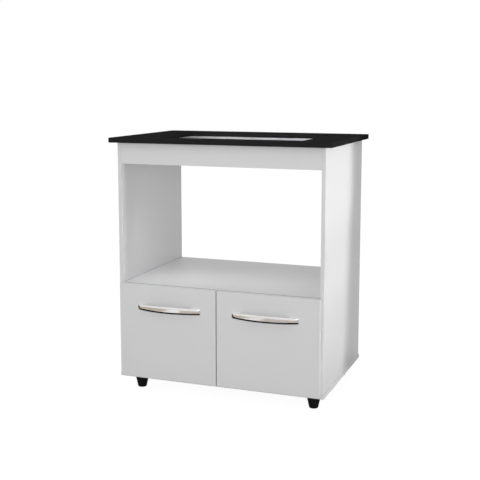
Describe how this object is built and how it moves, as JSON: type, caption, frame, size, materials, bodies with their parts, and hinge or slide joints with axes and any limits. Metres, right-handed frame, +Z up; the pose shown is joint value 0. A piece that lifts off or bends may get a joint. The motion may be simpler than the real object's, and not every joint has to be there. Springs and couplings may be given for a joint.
{
  "type": "kitchen base cabinet",
  "caption": "Kitchen base cabinet for a built-in cooktop: black top with a cut-out, open niche, deep drawers with bow handles on roller runners, and tapered feet.",
  "frame": {"origin": "on the floor under the middle of the whole piece", "axes": "+X to the right seen from the front, +Y to the back, +Z up"},
  "size_m": [0.702, 0.4948, 0.802],
  "materials": {
    "white_board": "white melamine-faced particle board",
    "black_laminate": "black satin laminate",
    "hardboard": "thin hardboard, painted white inside",
    "black_plastic": "black moulded plastic",
    "handle_chrome": "satin chrome",
    "zinc_steel": "bright zinc plate",
    "coated_steel": "white epoxy coat",
    "roller_nylon": "white nylon",
    "beech": "plain beech",
    "bumper_rubber": "soft clear pad"
  },
  "bodies": {
    "carcass": {"countertop": "black_laminate", "side_panel_left": "white_board", "side_panel_right": "white_board", "base_board": "white_board", "niche_shelf": "white_board", "centre_partition": "white_board", "front_rail": "white_board", "rear_rail": "white_board", "back_panel": "hardboard", "foot_front_left": "black_plastic", "foot_front_right": "black_plastic", "foot_rear_left": "black_plastic", "foot_rear_right": "black_plastic", "base_screws": "zinc_steel", "foot_screws": "zinc_steel", "back_panel_nails": "zinc_steel", "dowels": "beech", "cam_bolts": "zinc_steel", "cam_locks": "zinc_steel", "countertop_brackets": "zinc_steel", "countertop_bracket_screws": "zinc_steel", "front_bumpers": "bumper_rubber", "channel_screws": "zinc_steel", "left_drawer_channel_left": "coated_steel", "left_drawer_channel_right": "coated_steel", "right_drawer_channel_left": "coated_steel", "right_drawer_channel_right": "coated_steel"},
    "left_drawer": {"left_drawer_front": "white_board", "left_drawer_side_left": "white_board", "left_drawer_side_right": "white_board", "left_drawer_back": "white_board", "left_drawer_bottom": "hardboard", "left_drawer_handle": "handle_chrome", "left_drawer_handle_screws": "zinc_steel", "left_drawer_box_screws": "zinc_steel", "left_drawer_front_dowels": "beech", "left_drawer_rail_left": "coated_steel", "left_drawer_rail_right": "coated_steel", "left_drawer_rail_screws": "zinc_steel"},
    "right_drawer": {"right_drawer_front": "white_board", "right_drawer_side_left": "white_board", "right_drawer_side_right": "white_board", "right_drawer_back": "white_board", "right_drawer_bottom": "hardboard", "right_drawer_handle": "handle_chrome", "right_drawer_handle_screws": "zinc_steel", "right_drawer_box_screws": "zinc_steel", "right_drawer_front_dowels": "beech", "right_drawer_rail_left": "coated_steel", "right_drawer_rail_right": "coated_steel", "right_drawer_rail_screws": "zinc_steel"},
    "left_drawer_front_roller_left": {"left_drawer_front_roller_left": "roller_nylon"},
    "left_drawer_rear_roller_left": {"left_drawer_rear_roller_left": "roller_nylon"},
    "left_drawer_front_roller_right": {"left_drawer_front_roller_right": "roller_nylon"},
    "left_drawer_rear_roller_right": {"left_drawer_rear_roller_right": "roller_nylon"},
    "right_drawer_front_roller_left": {"right_drawer_front_roller_left": "roller_nylon"},
    "right_drawer_rear_roller_left": {"right_drawer_rear_roller_left": "roller_nylon"},
    "right_drawer_front_roller_right": {"right_drawer_front_roller_right": "roller_nylon"},
    "right_drawer_rear_roller_right": {"right_drawer_rear_roller_right": "roller_nylon"}
  },
  "joints": [
    {"name": "left_drawer_slide", "type": "slide", "parent": "carcass", "child": "left_drawer", "axis": [0, -1, 0], "range_m": [0, 0.3]},
    {"name": "left_drawer_front_roller_left_spin", "type": "hinge", "parent": "carcass", "child": "left_drawer_front_roller_left", "pos_m": [-0.31215, -0.1924, 0.1009], "axis": [1, 0, 0], "continuous": true},
    {"name": "left_drawer_rear_roller_left_spin", "type": "hinge", "parent": "left_drawer", "child": "left_drawer_rear_roller_left", "pos_m": [-0.31135, 0.1766, 0.0975], "axis": [1, 0, 0], "continuous": true},
    {"name": "left_drawer_front_roller_right_spin", "type": "hinge", "parent": "carcass", "child": "left_drawer_front_roller_right", "pos_m": [-0.01185, -0.1924, 0.1009], "axis": [1, 0, 0], "continuous": true},
    {"name": "left_drawer_rear_roller_right_spin", "type": "hinge", "parent": "left_drawer", "child": "left_drawer_rear_roller_right", "pos_m": [-0.01265, 0.1766, 0.0975], "axis": [1, 0, 0], "continuous": true},
    {"name": "right_drawer_slide", "type": "slide", "parent": "carcass", "child": "right_drawer", "axis": [0, -1, 0], "range_m": [0, 0.3]},
    {"name": "right_drawer_front_roller_left_spin", "type": "hinge", "parent": "carcass", "child": "right_drawer_front_roller_left", "pos_m": [0.01185, -0.1924, 0.1009], "axis": [1, 0, 0], "continuous": true},
    {"name": "right_drawer_rear_roller_left_spin", "type": "hinge", "parent": "right_drawer", "child": "right_drawer_rear_roller_left", "pos_m": [0.01265, 0.1766, 0.0975], "axis": [1, 0, 0], "continuous": true},
    {"name": "right_drawer_front_roller_right_spin", "type": "hinge", "parent": "carcass", "child": "right_drawer_front_roller_right", "pos_m": [0.31215, -0.1924, 0.1009], "axis": [1, 0, 0], "continuous": true},
    {"name": "right_drawer_rear_roller_right_spin", "type": "hinge", "parent": "right_drawer", "child": "right_drawer_rear_roller_right", "pos_m": [0.31135, 0.1766, 0.0975], "axis": [1, 0, 0], "continuous": true}
  ],
  "couplings": [
    {"joint": "left_drawer_front_roller_left_spin", "follows": "left_drawer_slide", "rad_per_m": 111.11},
    {"joint": "left_drawer_rear_roller_left_spin", "follows": "left_drawer_slide", "rad_per_m": 111.11},
    {"joint": "left_drawer_front_roller_right_spin", "follows": "left_drawer_slide", "rad_per_m": 111.11},
    {"joint": "left_drawer_rear_roller_right_spin", "follows": "left_drawer_slide", "rad_per_m": 111.11},
    {"joint": "right_drawer_front_roller_left_spin", "follows": "right_drawer_slide", "rad_per_m": 111.11},
    {"joint": "right_drawer_rear_roller_left_spin", "follows": "right_drawer_slide", "rad_per_m": 111.11},
    {"joint": "right_drawer_front_roller_right_spin", "follows": "right_drawer_slide", "rad_per_m": 111.11},
    {"joint": "right_drawer_rear_roller_right_spin", "follows": "right_drawer_slide", "rad_per_m": 111.11}
  ]
}
